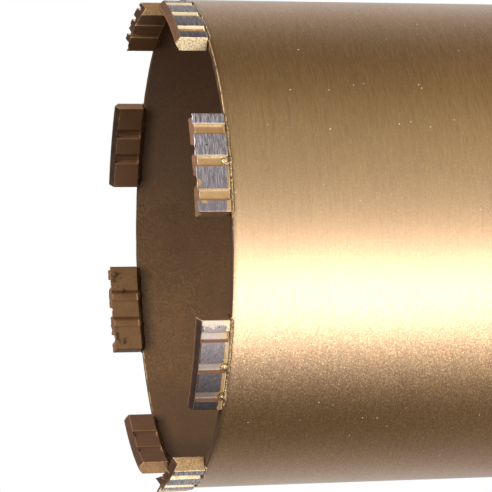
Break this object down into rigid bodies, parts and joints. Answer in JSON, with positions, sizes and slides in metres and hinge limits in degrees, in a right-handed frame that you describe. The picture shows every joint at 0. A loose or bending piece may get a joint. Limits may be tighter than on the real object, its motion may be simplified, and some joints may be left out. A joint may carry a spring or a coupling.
{
  "type": "diamond core bit",
  "caption": "Diamond core bit: a thin lacquered steel barrel with turbo-grooved diamond segments brazed on its rim, a back plate and a female threaded hub, for drilling round holes in concrete.",
  "frame": {"origin": "centre of the hub's end face, on the axis of rotation", "axes": "+Z along the axis of rotation from the hub to the cutting crown; +X through the middle of one vee-topped segment"},
  "size_m": [0.127, 0.127, 0.3482],
  "materials": {
    "barrel_lacquer": "gold metallic lacquer over fine turning lines, glossy",
    "plate_lacquer": "gold metallic lacquer over turned steel",
    "hub_lacquer": "gold metallic lacquer, bare steel thread",
    "weld_lacquer": "weld bead under gold lacquer",
    "segment_metal": "sintered metal, ground bare on the outer lands and lacquered elsewhere",
    "solder": "silver solder with lacquer over it, uneven beads"
  },
  "bodies": {
    "root": {"barrel": "barrel_lacquer", "back_plate": "plate_lacquer", "plate_weld": "weld_lacquer", "hub": "hub_lacquer", "hub_weld": "weld_lacquer", "segment_1": "segment_metal", "solder_1": "solder", "segment_2": "segment_metal", "solder_2": "solder", "segment_3": "segment_metal", "solder_3": "solder", "segment_4": "segment_metal", "solder_4": "solder", "segment_5": "segment_metal", "solder_5": "solder", "segment_6": "segment_metal", "solder_6": "solder", "segment_7": "segment_metal", "solder_7": "solder", "segment_8": "segment_metal", "solder_8": "solder"}
  },
  "joints": []
}
